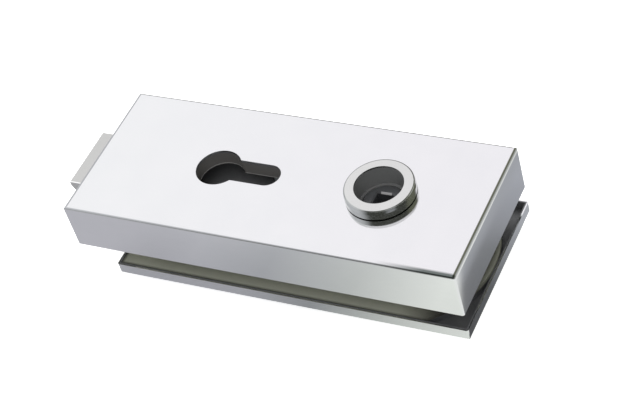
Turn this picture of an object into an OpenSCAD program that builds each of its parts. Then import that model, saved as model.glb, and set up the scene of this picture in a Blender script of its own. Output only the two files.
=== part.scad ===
// Glass door centre lock: a latch case and a counter plate that clamp one pane between them.
// The origin lies on the handle axis at the middle of the glass. +X runs from the latch end
// to the other end, and +Z points out of the case side.

/* [Case] */
// Length of the case cover
case_len = 155; // [153:0.5:158]
// Width of the case cover and of the counter cover
case_wid = 62; // [61:0.5:66]
// Height of the case cover above the glass
case_h = 19.4; // [19.2:0.1:20.5]
// Thickness of the cover's stainless sheet
sheet_t = 1.2; // [1:0.1:1.5]
// Radius on the long edges of the case cover and on all edges of the counter cover
edge_r = 0.9; // [0.5:0.1:1.4]
// Radius on the upper edges of the case cover's two ends
end_r = 1.6; // [0.9:0.1:2]
// Radius on the case cover's upright edges
upright_r = 0.8; // [0.6:0.1:2.2]

/* [Glass and counter plate] */
// Thickness of the glass
glass_t = 8; // [8:0.5:12]
// Thickness of each rubber gasket
gasket_t = 1.4; // [1:0.1:1.6]
// Radius of the gasket's round end
gasket_r = 35.6; // [33:0.1:36.5]
// Length of the counter cover, flush with the case at the far end
tray_len = 140.7; // [135:0.1:145]
// Height of the counter cover
tray_h = 4.8; // [4.6:0.1:6]
// Sheet thickness of the counter cover
tray_t = 1; // [0.8:0.1:1.2]

/* [Lock cylinder cut-out] */
// Latch end to cylinder axis
end_to_cyl = 50.5; // [50:0.5:52]
// Cylinder axis to handle axis
cyl_to_handle = 65; // [64:0.5:66]
// Radius of the round part
cyl_r = 8.6; // [8.6:0.05:8.9]
// Width of the narrow part
cyl_slot_w = 10.2; // [10.2:0.1:10.6]
// Length of the whole cut-out
cyl_len = 33.7; // [33:0.1:34]

/* [Handle] */
// Radius of the handle neck's bore
neck_r = 9; // [8.8:0.1:9.2]
// Outer radius of the collar
collar_r = 12.9; // [12.8:0.1:14.4]
// Height of the collar above the cover
collar_h = 4.5; // [4:0.1:6]
// Side of the square spindle hole
spindle_sq = 8; // [7:0.5:9]

/* [Latch] */
// Width of the latch bolt
latch_w = 26.7; // [24:0.1:27]
// How far the latch bolt stands out
latch_out = 9.3; // [7:0.1:9.4]
// Depth of its top face below the cover's top
latch_drop = 6.3; // [6.2:0.1:6.8]
// Thickness of the latch bolt
latch_t = 7.9; // [7:0.1:8]

/* [Hidden] */
$fn = 96;
x_end = -cyl_to_handle - end_to_cyl;
x_far = x_end + case_len;
x_cyl = -cyl_to_handle;
z_glass = glass_t / 2;
z_floor_low = z_glass + gasket_t;
z_floor = z_glass + 4;
z_top = z_glass + case_h;
z_lid_top = z_top - sheet_t;
lid_t = 2;
z_lid = z_lid_top - lid_t;

// The casting stands this far inside the cover
cover_gap = 0.4;
body_wall = 2;
body_x0 = x_end + sheet_t + cover_gap;
body_x1 = x_far - sheet_t - cover_gap;
body_y = case_wid / 2 - sheet_t - cover_gap;

// Latch bolt: its top and underside, its rear face and the upright part of its nose
z_latch = z_top - latch_drop;
z_latch_low = z_latch - latch_t;
latch_rear = x_end + 14.5;
nose_land = 1;
nose_bend = [1.4, 3.9];
nose_run = 7.1;
latch_travel = latch_out;
slide_gap = 0.1;

// Layer in which the pull bar, the slide and the follower's arms work
z_bar = z_floor + 4;
bar_t = 3;
rail_y0 = -23.3;
rail_y1 = -16.8;
arm_t = 4;
guide_r = 1.5;
slot_r = guide_r + 0.15;
bar_guides = [[-75, -20], [-25, -20]];
bar_front = latch_rear - 5;
bar_back = latch_rear + 2;
rivet_r = 1.5;

// Follower: reach and half width of its pull arm, reach of its stop arm
barrel_r = 8;
arm_reach = 12.5;
arm_half = 2.6;
stop_reach = 12.8;
stop_half = 2.2;
turn = 43.5;
stop_post_r = 1.4;
stop_post_gap = stop_half + stop_post_r + 0.15;
z_barrel_low = z_floor - 1.8;
z_barrel_top = z_top - 4.1;
barrel_bevel = 0.5;
square_bevel = 0.6;
bush_run = 0.05;
bush_r = 10.55;
bush_flange_r = 12.5;

// Springs
spring_y = 8;
spring_r = 2.5;
spring_wire = 0.8;
rib_x = -84;
rib_t = 2;
peg_r = 1.6;
peg_len = 2.8;
coil_r = 9.3;
coil_wire = 1;
clip_t = 0.4;
clip_len = 13;
clip_room = 0.9;
case_clip_x = [-84, 8];
tray_clip_x = [-70, 5];

// Deadlocking slide on the other side of the cylinder
slide_nose_x = -89;
slide_tail_x = -50.3;
slide_travel = 8.5;
slide_y0 = 12.5;
slide_y1 = 23.5;
slide_guides = [[-75, 20.3], [-62, 20.3]];
detent_x = -68;
cam_notch_w = 10;
cam_notch_y = 16.3;

// Screws
clamp_xy = [for (x = [-93, 21], y = [-19, 19]) [x, y]];
clamp_r = 2.5;
sleeve_r = 5;
z_clamp_tip = z_floor + 2.9;
lid_xy = [for (x = [-109.5, 33.5], y = [-24.2, 24.2]) [x, y]];
lid_screw_r = 1.5;
cyl_screw_x = x_cyl + 20;
cyl_screw_z = z_floor + 6.1;
cyl_screw_tip = 6;
thread_gap = 0.02;

// Counter side, measured down from the middle of the glass
z_plate = -z_glass - gasket_t;
z_tray = -z_glass - tray_h;
z_tray_in = z_tray + tray_t;
tray_x0 = x_far - tray_len;
plate_gap = 0.3;
plate_x0 = tray_x0 + tray_t + plate_gap;
plate_y = case_wid / 2 - tray_t - plate_gap;
gasket_x1 = x_far - tray_t - 0.5;

// Collars and their bushes
spigot_r = 11.9;
neck_bush_r = 10.6;
lip_t = 0.6;

// Plain shapes

// A box from one corner to the opposite one
module block(low, high) {
    translate(low) cube(high - low);
}

// A rectangle with round corners
module round_rect(x0, x1, half, r) {
    union() {
        translate([x0 + r, -half]) square([x1 - x0 - 2 * r, 2 * half]);
        translate([x0, -half + r]) square([x1 - x0, 2 * half - 2 * r]);
        for (x = [x0 + r, x1 - r], y = [-half + r, half - r]) translate([x, y]) circle(r, $fn = 32);
    }
}

// A straight bar outline with a round end
module finger(reach, half) {
    translate([0, -half]) square([reach, 2 * half]);
    translate([reach, 0]) circle(half);
}

// A slot for a post that travels from dx0 to dx1
module slot(dx0, dx1, r) {
    translate([dx0, -r]) square([dx1 - dx0, 2 * r]);
    for (x = [dx0, dx1]) translate([x, 0]) circle(r, $fn = 32);
}

// Outline of the lock cylinder, let out by a margin
module cylinder_outline(extra = 0) {
    slot_r0 = cyl_slot_w / 2 + extra;
    slot_end = cyl_len - cyl_r - cyl_slot_w / 2;
    translate([x_cyl, 0]) {
        circle(cyl_r + extra);
        translate([0, -slot_r0]) square([slot_end, 2 * slot_r0]);
        translate([slot_end, 0]) circle(slot_r0, $fn = 64);
    }
}

// Outline of a gasket and of the clamp plate: square at the latch end, round at the other
module gasket_outline(x0, half) {
    intersection() {
        translate([x0, -half]) square([gasket_x1 - x0, 2 * half]);
        union() {
            translate([x0, -half]) square([gasket_x1 - gasket_r - x0, 2 * half]);
            translate([gasket_x1 - gasket_r, 0]) circle(gasket_r, $fn = 180);
        }
    }
}

// A block whose upright and upper edges are rounded: three profiles crossed
module pressed_block(x0, x1, half, h, side_r, end_r, upright_r) {
    intersection() {
        linear_extrude(h) round_rect(x0, x1, half, upright_r);
        translate([0, half, 0]) rotate([90, 0, 0]) linear_extrude(2 * half) top_profile(x0, x1, h, end_r);
        translate([x0, 0, 0]) rotate([90, 0, 90]) linear_extrude(x1 - x0) top_profile(-half, half, h, side_r);
    }
}
module top_profile(a, b, h, r) {
    translate([a, 0]) square([b - a, h - r]);
    translate([a + r, 0]) square([b - a - 2 * r, h]);
    for (x = [a + r, b - r]) translate([x, h - r]) circle(r, $fn = 32);
}

// A ring of one height
module ring(r_out, r_in, z0, z1) {
    translate([0, 0, z0]) linear_extrude(z1 - z0) difference() {
        circle(r_out);
        circle(r_in);
    }
}

// A countersunk screw that points up, its head's flat at z = 0
module flat_screw(r, head_r, head_h, len, key) {
    difference() {
        union() {
            cylinder(head_h, head_r, r);
            cylinder(len, r, r);
        }
        translate([0, 0, -1]) cylinder(head_h * 0.6 + 1, key, key, $fn = 6);
    }
}

// The space that such a screw needs
module flat_screw_space(r, head_r, head_h, len) {
    translate([0, 0, -1]) cylinder(1, head_r, head_r);
    cylinder(head_h, head_r, r);
    cylinder(len, r, r);
}

// A bowed leaf of spring strip, standing on its edge, its ends at y = 0 and its back at y = bow
module leaf(len, bow, t, h) {
    arc_r = (len * len / 4 + bow * bow) / (2 * bow);
    linear_extrude(h) intersection() {
        translate([0, bow - arc_r]) difference() {
            circle(arc_r, $fn = 360);
            circle(arc_r - t, $fn = 360);
        }
        translate([-len / 2, -t]) square([len, bow + t]);
    }
}

// Wire bent along a path that never runs upright
function unit(v) = v / norm(v);
function heading(p, i) = unit(p[min(i + 1, len(p) - 1)] - p[max(i - 1, 0)]);
function helix(r, turns, z0, z1, a0, steps) = [for (i = [0:steps * turns])
    let (s = i / (steps * turns), a = a0 + 360 * turns * s) [r * cos(a), r * sin(a), z0 + (z1 - z0) * s]];
module wire(path, d, sides) {
    n = len(path);
    points = [for (i = [0:n - 1])
        let (t = heading(path, i), u = unit(cross(t, [0, 0, 1])), v = cross(u, t))
        for (k = [0:sides - 1])
            path[i] + d / 2 * (cos(360 * k / sides) * u + sin(360 * k / sides) * v)];
    walls = [for (i = [0:n - 2], k = [0:sides - 1])
        let (next = (k + 1) % sides)
        [i * sides + k, i * sides + next, (i + 1) * sides + next, (i + 1) * sides + k]];
    start = [for (k = [0:sides - 1]) sides - 1 - k];
    finish = [for (k = [0:sides - 1]) (n - 1) * sides + k];
    polyhedron(points, concat(walls, [start], [finish]), convexity = 10);
}

// Case side

module cover() {
    color("#eceef1") difference() {
        translate([0, 0, z_glass])
            pressed_block(x_end, x_far, case_wid / 2, case_h, edge_r, end_r, upright_r);
        block([x_end + sheet_t, -case_wid / 2 + sheet_t, z_glass - 1],
            [x_far - sheet_t, case_wid / 2 - sheet_t, z_lid_top]);
        translate([0, 0, z_lid_top - 1]) linear_extrude(sheet_t + 2) cylinder_outline();
        translate([0, 0, z_lid_top - 1]) cylinder(sheet_t + 2, spigot_r + thread_gap, spigot_r + thread_gap);
        block([x_end - 1, -latch_w / 2 - 0.25, z_latch_low - 0.25],
            [x_end + sheet_t + 1, latch_w / 2 + 0.25, z_latch + 0.25]);
        translate([cyl_screw_x, case_wid / 2 + 1, cyl_screw_z]) rotate([90, 0, 0])
            cylinder(sheet_t + 2, 3.2, 3.2);
    }
}

// Dark sleeve that lines the cylinder cut-out under the cover
module cylinder_liner() {
    liner_low = z_top - 6.5;
    color("#2f3032") difference() {
        union() {
            translate([0, 0, liner_low]) linear_extrude(z_lid_top - liner_low) cylinder_outline(1.3);
            translate([0, 0, z_lid - 1.3]) linear_extrude(1.3) cylinder_outline(2.8);
        }
        translate([0, 0, liner_low - 1]) linear_extrude(case_h) cylinder_outline();
    }
}

module case_lid() {
    color("#9a9da1") difference() {
        translate([0, 0, z_lid]) linear_extrude(lid_t) round_rect(body_x0, body_x1, body_y, 1.5);
        translate([0, 0, z_lid - 1]) linear_extrude(lid_t + 2) cylinder_outline(1.32);
        translate([0, 0, z_lid - 1]) cylinder(lid_t + 2, bush_r + thread_gap, bush_r + thread_gap);
        for (p = lid_xy) translate([p.x, p.y, z_lid_top]) mirror([0, 0, 1])
            flat_screw_space(lid_screw_r + 0.2, 3, 1.5, lid_t + 1);
        for (p = concat(bar_guides, slide_guides)) translate([p.x, p.y, z_lid - 1])
            cylinder(lid_t + 2, guide_r - 0.5 + thread_gap, guide_r - 0.5 + thread_gap);
    }
}

module lid_screws() {
    color("#b9bcc0") for (p = lid_xy) translate([p.x, p.y, z_lid_top]) mirror([0, 0, 1])
        flat_screw(lid_screw_r, 2.8, 1.5, 9, 1);
}

// Zinc casting that carries the works
module case_body() {
    color("#a8a9ab") difference() {
        union() {
            difference() {
                translate([0, 0, z_floor_low]) linear_extrude(z_lid - z_floor_low)
                    round_rect(body_x0, body_x1, body_y, 1.5);
                translate([0, 0, z_floor]) linear_extrude(case_h)
                    round_rect(body_x0 + body_wall, body_x1 - body_wall, body_y - body_wall, 2);
            }
            body_bosses();
            spring_rib();
            follower_stops();
        }
        translate([0, 0, z_floor_low - 1]) linear_extrude(4.6) cylinder_outline();
        translate([0, 0, z_floor_low - 1]) cylinder(5, bush_r + thread_gap, bush_r + thread_gap);
        for (p = clamp_xy) translate([p.x, p.y, z_floor_low - 1])
            cylinder(z_clamp_tip - z_floor_low + 3, clamp_r + thread_gap, clamp_r + thread_gap);
        for (p = lid_xy) translate([p.x, p.y, z_lid - 10])
            cylinder(11, lid_screw_r + thread_gap, lid_screw_r + thread_gap);
        block([body_x0 - 1, -15.2, z_floor], [body_x0 + body_wall + 1, 15.2, z_latch + 1.3]);
        cylinder_screw_space();
        for (x = case_clip_x, side = [-1, 1])
            clip_recess(x, side, body_y, z_floor + 2, z_floor + 7);
    }
}

// Screw bosses, lid pillars in the corners and the posts that guide the two slides
module body_bosses() {
    for (p = clamp_xy) translate([p.x, p.y, z_floor_low]) cylinder(z_floor + 3.4 - z_floor_low, 5, 5);
    for (p = lid_xy) translate([p.x, p.y, z_floor_low]) cylinder(z_lid - z_floor_low, 3.2, 3.2);
    for (x = [33.5, -109.5], side = [-1, 1])
        block([x - 1.5, side * 26 - 2, z_floor_low], [x + 1.5, side * 26 + 2, z_lid]);
    for (p = concat(bar_guides, slide_guides)) translate([p.x, p.y, z_floor_low]) {
        cylinder(z_lid - z_floor_low, guide_r, guide_r);
        cylinder(z_lid_top - z_floor_low, guide_r - 0.5, guide_r - 0.5);
        cylinder(z_bar - 0.4 - z_floor_low, 2.8, 2.8);
    }
    translate([cyl_screw_x, body_y - 1, cyl_screw_z]) rotate([90, 0, 0]) cylinder(8, 4.2, 4.2);
}

// Wall with two pegs that the latch springs push against
module spring_rib() {
    block([rib_x, -12.5, z_floor - 1], [rib_x + rib_t, 12.5, z_bar + bar_t + 1.5]);
    for (side = [-1, 1]) translate([rib_x - peg_len, side * spring_y, z_bar + bar_t / 2])
        rotate([0, 90, 0]) cylinder(peg_len + 1, peg_r, peg_r);
}

// Posts that stop the follower at both ends of its turn, and the one that holds its spring
module follower_stops() {
    h = z_bar + arm_t - z_floor + 1;
    stop_y = 14.3;
    translate([stop_post_gap, stop_y, z_floor - 1]) cylinder(h, stop_post_r, stop_post_r);
    rotate(turn) translate([-stop_post_gap, stop_y, z_floor - 1]) cylinder(h, stop_post_r, stop_post_r);
    rotate(-150) translate([13.8, coil_wire / 2 + stop_post_r + 0.06, z_floor - 1])
        cylinder(4.4, stop_post_r, stop_post_r);
}

// Tapped way for the cylinder's fixing screw, from outside
module cylinder_screw_space() {
    translate([cyl_screw_x, body_y + 1, cyl_screw_z]) rotate([90, 0, 0])
        cylinder(12, clamp_r + thread_gap, clamp_r + thread_gap);
}

// Pocket for a clip in a side face, and the clip in it, which reaches across the gap to the cover
module clip_recess(x, side, face_y, z0, z1) {
    y0 = side > 0 ? face_y - clip_room : -face_y - 1;
    block([x - clip_len / 2 - 0.5, y0, z0], [x + clip_len / 2 + 0.5, y0 + clip_room + 1, z1]);
}
module clip(x, side, face_y, gap, z, h) {
    foot = face_y - clip_room + clip_t + 0.05;
    translate([x, side * foot, z]) mirror([0, side < 0 ? 1 : 0, 0])
        leaf(clip_len, face_y + gap - 0.05 - foot, clip_t, h);
}

// Nylon frame in which the latch bolt slides
module latch_guide() {
    z_roof = z_latch + 1.3;
    color("#d8d6cf") difference() {
        union() {
            block([body_x0, -15.2, z_floor], [body_x0 + 7, 15.2, z_roof]);
            block([body_x0 + body_wall, -17, z_floor], [body_x0 + body_wall + 1.5, 17, z_roof]);
        }
        block([body_x0 - 1, -latch_w / 2 - slide_gap, z_latch_low - slide_gap],
            [body_x0 + 8, latch_w / 2 + slide_gap, z_latch + slide_gap]);
    }
}

// Bevelled bolt: its side profile crossed with its plan, slotted at the rear for the pull bar
module latch_bolt() {
    tip = x_end - latch_out;
    color("#d3d2ce") difference() {
        intersection() {
            translate([0, latch_w / 2, 0]) rotate([90, 0, 0]) linear_extrude(latch_w)
                polygon([[tip + 0.4, z_latch], [tip, z_latch - 0.4], [tip, z_latch - nose_land],
                    [tip + nose_bend.x, z_latch - nose_bend.y], [tip + nose_run, z_latch_low],
                    [latch_rear, z_latch_low], [latch_rear, z_latch]]);
            translate([0, 0, z_latch_low - 1]) linear_extrude(latch_t + 2)
                round_rect(tip, latch_rear, latch_w / 2, 0.6);
        }
        block([bar_front, -latch_w, z_bar], [latch_rear + 1, latch_w, z_bar + bar_t]);
        rivet_holes();
    }
}

module rivet_holes() {
    for (side = [-1, 1]) translate([bar_front + 2.5, side * 10.5, z_latch_low - 1])
        cylinder(latch_t + 2, rivet_r + thread_gap, rivet_r + thread_gap);
}

// Punched bar from the latch bolt round the cylinder to the follower's arm
module pull_bar() {
    hook_x = arm_half + 0.1;
    color("#8d9094") difference() {
        translate([0, 0, z_bar]) linear_extrude(bar_t) difference() {
            union() {
                translate([bar_front, rail_y0]) square([bar_back - bar_front, 20 - rail_y0]);
                translate([bar_front, rail_y0]) square([hook_x + 4 - bar_front, rail_y1 - rail_y0]);
                translate([hook_x, rail_y0]) square([4, -10.5 - rail_y0]);
                translate([hook_x + 2, -10.5]) circle(2);
                translate([hook_x, -10.5]) square([2, 1.9]);
                for (side = [-1, 1]) translate([bar_back - 1, side * spring_y - 1]) square([3.2, 2]);
            }
            for (p = bar_guides) translate(p) slot(-latch_travel - 0.2, 0.2, slot_r);
        }
        rivet_holes();
    }
}

module pull_rivets() {
    color("#c2c4c7") for (side = [-1, 1])
        translate([bar_front + 2.5, side * 10.5, z_latch_low]) cylinder(latch_t, rivet_r, rivet_r);
}

// Two compression springs between the rib and the pull bar
module latch_springs() {
    coil_len = rib_x - bar_back - spring_wire - 0.1;
    color("#b4b7bb") for (side = [-1, 1])
        translate([bar_back + spring_wire / 2 + 0.05, side * spring_y, z_bar + bar_t / 2])
            rotate([0, 90, 0]) wire(helix(spring_r, 5, 0, coil_len, 0, 16), spring_wire, 6);
}

// Plate that the cylinder's cam pushes behind the pull bar to deadlock the latch
module locking_slide() {
    color("#7d8084") translate([0, 0, z_bar]) linear_extrude(bar_t) difference() {
        union() {
            translate([-79, slide_y0]) square([slide_tail_x + 79, slide_y1 - slide_y0]);
            translate([slide_nose_x, 16]) square([-78 - slide_nose_x, 4]);
        }
        translate([x_cyl - cam_notch_w / 2, slide_y0 - 1]) square([cam_notch_w, cam_notch_y - slide_y0 + 1]);
        for (p = slide_guides) translate(p) slot(-0.2, slide_travel + 0.2, slot_r);
        for (dx = [0, slide_travel]) translate([detent_x + dx, slide_y1 + 0.9]) circle(1.6);
    }
}

// Leaf that holds the slide in either place: its ends on the wall, its back in the slide's notch
module detent_spring() {
    foot = body_y - body_wall - clip_t - 0.05;
    bow = foot - slide_y1 - 0.35;
    color("#b4b7bb") translate([detent_x, foot, z_bar + 0.5]) mirror([0, 1, 0]) {
        leaf(15, bow, clip_t, 2);
        translate([0, bow]) cylinder(2, 0.9, 0.9);
    }
}

// Long screw that holds the lock cylinder, reached through a hole in the cover's rear wall
module cylinder_screw() {
    y_head = body_y - 0.2;
    color("#b9bcc0") difference() {
        translate([cyl_screw_x, y_head, cyl_screw_z]) rotate([90, 0, 0])
            cylinder(y_head - cyl_screw_tip, clamp_r, clamp_r);
        translate([cyl_screw_x, y_head + 1, cyl_screw_z]) rotate([90, 0, 0])
            cylinder(3.5, 1.45, 1.45, $fn = 6);
    }
}

// Hub turned by the handle: square hole, pull arm on one side and stop arm on the other
module follower() {
    color("#85878b") difference() {
        union() {
            translate([0, 0, z_barrel_low])
                cylinder(z_barrel_top - barrel_bevel - z_barrel_low, barrel_r, barrel_r);
            translate([0, 0, z_barrel_top - barrel_bevel])
                cylinder(barrel_bevel, barrel_r, barrel_r - barrel_bevel);
            translate([0, 0, z_bar]) linear_extrude(arm_t) {
                rotate(-90) finger(arm_reach, arm_half);
                rotate(90) finger(stop_reach, stop_half);
            }
        }
        block([-spindle_sq / 2, -spindle_sq / 2, z_barrel_low - 1],
            [spindle_sq / 2, spindle_sq / 2, z_barrel_top + 1]);
        translate([0, 0, z_barrel_top - square_bevel]) linear_extrude(2 * square_bevel,
            scale = 1 + 4 * square_bevel / spindle_sq) square(spindle_sq, center = true);
    }
}

module follower_bush_upper() {
    color("#3a3a3c") difference() {
        union() {
            ring(bush_r, barrel_r + bush_run, z_bar + arm_t + 0.2, z_lid_top);
            ring(bush_flange_r, barrel_r + bush_run, z_lid - 1.8, z_lid);
        }
        translate([0, 0, z_barrel_top]) cylinder(z_lid_top + 1 - z_barrel_top, neck_r, neck_r);
    }
}

module follower_bush_lower() {
    color("#3a3a3c") {
        ring(bush_r, barrel_r + bush_run, z_floor_low, z_floor);
        ring(bush_flange_r, barrel_r + bush_run, z_floor, z_floor + 1);
        ring(barrel_r + 1, 6.6, z_floor_low, z_barrel_low - 0.1);
    }
}

// Torsion spring round the barrel: one leg on its post, the other on the follower's stop arm
module follower_spring() {
    z0 = z_floor + 1.6;
    z1 = z_bar - 0.65;
    leg_x = -stop_half - coil_wire / 2 - 0.08;
    coil = helix(coil_r, 1.75, z0, z1, -158, 24);
    out = [for (r = [15.2, 12.4, 10.2]) [r * cos(-150), r * sin(-150), z0]];
    up = [[-4.4, 9.9, z1 + 0.5], [leg_x, 12.2, z1 + 1.5], [leg_x, 14.4, z1 + 1.8]];
    color("#b4b7bb") wire(concat(out, coil, up), coil_wire, 8);
}

// Turned collar that the handle's neck runs in, standing on a cover
module collar() {
    top_r = 0.7;
    foot_h = 0.4;
    taper_h = 2.7;
    shoulder_r = collar_r - 0.2;
    waist_r = shoulder_r - top_r;
    inner_r = neck_bush_r + 0.05;
    color("#d6d8db") rotate_extrude() union() {
        translate([inner_r, -sheet_t]) square([spigot_r - inner_r, sheet_t + 1]);
        translate([inner_r, 0]) square([waist_r - inner_r, collar_h]);
        translate([inner_r, foot_h]) square([collar_r - inner_r, taper_h - foot_h]);
        polygon([[inner_r, taper_h], [collar_r, taper_h], [shoulder_r, collar_h - top_r],
            [inner_r, collar_h - top_r]]);
        translate([neck_r, collar_h - lip_t]) square([waist_r - neck_r, lip_t]);
        translate([waist_r, collar_h - top_r]) circle(top_r, $fn = 48);
    }
}
module case_collar() {
    translate([0, 0, z_top]) collar();
}

// Nylon bush inside the collar, above the follower's bush
module case_collar_bush() {
    color("#3a3a3c") ring(neck_bush_r, neck_r, z_lid_top, z_top + collar_h - lip_t - 0.05);
}

// Leaf springs that hold the cover on the casting
module cover_clips() {
    color("#b4b7bb") for (x = case_clip_x, side = [-1, 1])
        clip(x, side, body_y, cover_gap, z_floor + 2.5, 4);
}

// Rubber between the casting and the glass
module case_gasket() {
    color("#3b3d38") translate([0, 0, z_glass]) linear_extrude(gasket_t) difference() {
        gasket_outline(x_end + sheet_t + 0.3, plate_y);
        gasket_cutouts();
    }
}
module gasket_cutouts() {
    cylinder_outline(1);
    circle(11.5);
    for (p = clamp_xy) translate(p) circle(sleeve_r + 0.1);
}

// Between the two halves

module glass_sleeves() {
    color("#dddcd6") for (p = clamp_xy) translate([p.x, p.y, 0]) ring(sleeve_r, 2.7, z_plate, z_floor_low);
}

module clamp_screws() {
    color("#b9bcc0") for (p = clamp_xy) translate([p.x, p.y, z_tray_in])
        flat_screw(clamp_r, 4.6, 2.1, z_clamp_tip - z_tray_in, 1.5);
}

// Counter side

module counter_gasket() {
    color("#5c5f55") translate([0, 0, z_plate]) linear_extrude(gasket_t) difference() {
        gasket_outline(plate_x0, plate_y);
        gasket_cutouts();
    }
}

// Steel plate that the screws pull against the glass
module clamp_plate() {
    plate_t = z_plate - z_tray_in;
    color("#8d9094") difference() {
        translate([0, 0, z_tray_in]) linear_extrude(plate_t) difference() {
            gasket_outline(plate_x0, plate_y);
            cylinder_outline();
            circle(neck_bush_r + 0.05);
        }
        for (p = clamp_xy) translate([p.x, p.y, z_tray_in])
            flat_screw_space(clamp_r + 0.2, 4.8, 2.1, plate_t + 1);
        for (x = tray_clip_x, side = [-1, 1]) clip_recess(x, side, plate_y, z_tray_in - 1, z_plate + 1);
    }
}

// Leaf springs that hold the counter cover on the plate
module tray_clips() {
    color("#b4b7bb") for (x = tray_clip_x, side = [-1, 1])
        clip(x, side, plate_y, plate_gap, z_tray_in + 0.1, 2);
}

module counter_cover() {
    color("#dfe2e2") difference() {
        translate([0, 0, -z_glass]) mirror([0, 0, 1])
            pressed_block(tray_x0, x_far, case_wid / 2, tray_h, edge_r, edge_r, edge_r);
        block([tray_x0 + tray_t, -case_wid / 2 + tray_t, z_tray_in],
            [x_far - tray_t, case_wid / 2 - tray_t, 0]);
        translate([0, 0, z_tray - 1]) linear_extrude(tray_t + 2) cylinder_outline();
        translate([0, 0, z_tray - 1]) cylinder(tray_t + 2, spigot_r + thread_gap, spigot_r + thread_gap);
    }
}

module counter_collar() {
    intersection() {
        translate([0, 0, z_tray]) mirror([0, 0, 1]) collar();
        block([-20, -20, z_tray - 20], [20, 20, z_tray_in]);
    }
}

module counter_collar_bush() {
    color("#3a3a3c") ring(neck_bush_r, neck_r, z_tray - collar_h + lip_t + 0.05, z_plate);
}

cover();
cylinder_liner();
case_lid();
lid_screws();
case_body();
latch_guide();
latch_bolt();
pull_bar();
pull_rivets();
latch_springs();
locking_slide();
detent_spring();
cylinder_screw();
follower();
follower_bush_upper();
follower_bush_lower();
follower_spring();
case_collar();
case_collar_bush();
cover_clips();
case_gasket();
glass_sleeves();
clamp_screws();
counter_gasket();
clamp_plate();
tray_clips();
counter_cover();
counter_collar();
counter_collar_bush();
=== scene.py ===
# %% [markdown]
# # A glass door lock, dressed for its portrait
# The frame that loads here is a lock for a swinging glass door: a latch case on one face of the
# pane and a flat counter plate on the other. Its solids are exact, so this lesson adds what
# solids lack: finishes, wound springs, cut threads, and the light that makes steel look like steel.

# %% Load the frame
import bpy
import bmesh
import math
from mathutils import Vector, Matrix


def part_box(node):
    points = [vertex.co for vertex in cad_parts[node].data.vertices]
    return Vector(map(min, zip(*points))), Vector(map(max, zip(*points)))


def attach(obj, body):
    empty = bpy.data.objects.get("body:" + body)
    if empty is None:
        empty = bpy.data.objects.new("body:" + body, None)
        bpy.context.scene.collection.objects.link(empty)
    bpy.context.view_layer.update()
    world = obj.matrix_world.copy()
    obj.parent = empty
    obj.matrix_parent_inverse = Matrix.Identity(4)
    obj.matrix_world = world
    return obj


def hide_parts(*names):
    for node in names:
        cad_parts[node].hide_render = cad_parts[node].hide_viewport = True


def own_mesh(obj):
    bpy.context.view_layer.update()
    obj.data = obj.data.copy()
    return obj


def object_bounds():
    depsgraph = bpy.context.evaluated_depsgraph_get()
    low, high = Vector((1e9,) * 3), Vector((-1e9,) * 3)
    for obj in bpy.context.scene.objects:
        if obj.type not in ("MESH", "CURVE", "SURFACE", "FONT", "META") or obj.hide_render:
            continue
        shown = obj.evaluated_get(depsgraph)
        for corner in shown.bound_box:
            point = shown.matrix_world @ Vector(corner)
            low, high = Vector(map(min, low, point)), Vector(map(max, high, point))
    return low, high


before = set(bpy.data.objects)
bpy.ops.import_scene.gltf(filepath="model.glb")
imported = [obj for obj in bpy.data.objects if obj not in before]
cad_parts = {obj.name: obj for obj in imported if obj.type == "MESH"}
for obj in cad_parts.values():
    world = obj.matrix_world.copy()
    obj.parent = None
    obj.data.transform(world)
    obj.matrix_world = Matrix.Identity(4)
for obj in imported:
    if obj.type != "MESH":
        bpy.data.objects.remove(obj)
cad_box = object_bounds()

# %% [markdown]
# ## Small helpers
# Colours are picked as they look on a screen, as hex values, and Blender works in linear light, so
# one function converts them. Every node, whatever its kind, is added by one more function: it gets
# its kind, its inputs and its settings. An input may be a plain value, a socket, or another node,
# which then feeds it from its first live output.

# %% Units, colours and nodes
MM = 0.001
# Kinds of nodes, and settings, that come up again and again.
MAP, MIX, MATH = "ShaderNodeMapRange", "ShaderNodeMix", "ShaderNodeMath"
VECTOR, SPLIT, SPACE = "ShaderNodeVectorMath", "ShaderNodeSeparateXYZ", "ShaderNodeTexCoord"
SMOOTH = {"interpolation_type": "SMOOTHSTEP"}
COLOUR = {"data_type": "RGBA"}
SHARE, UNDER, OVER = 0, 6, 7  # inputs of a Mix node that mixes colours


def tone(hex_code):
    """Linear colour of an sRGB hex value."""
    parts = [int(hex_code[i:i + 2], 16) / 255 for i in (1, 3, 5)]
    linear = [c / 12.92 if c <= 0.04045 else ((c + 0.055) / 1.055) ** 2.4 for c in parts]
    return (*linear, 1.0)


def add(tree, kind, inputs=None, **settings):
    """A new node; each input is a value, a socket, or a node that feeds it."""
    node = tree.nodes.new(kind)
    for name, value in settings.items():
        setattr(node, name, value)
    for key, item in (inputs or {}).items():
        if isinstance(item, bpy.types.Node):
            item = next(out for out in item.outputs if out.enabled)
        if isinstance(item, bpy.types.NodeSocket):
            tree.links.new(item, node.inputs[key])
        else:
            node.inputs[key].default_value = item
    return node


print("white in linear light:", tone("#ffffff"))

# %% [markdown]
# ## The camera
# The photograph was taken from above one corner, with the camera rolled so that the long edges run
# down to the right. Place, lens and roll were solved from the straight edges of the two covers,
# so the camera is set by its axes and needs no aim constraint.

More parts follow.
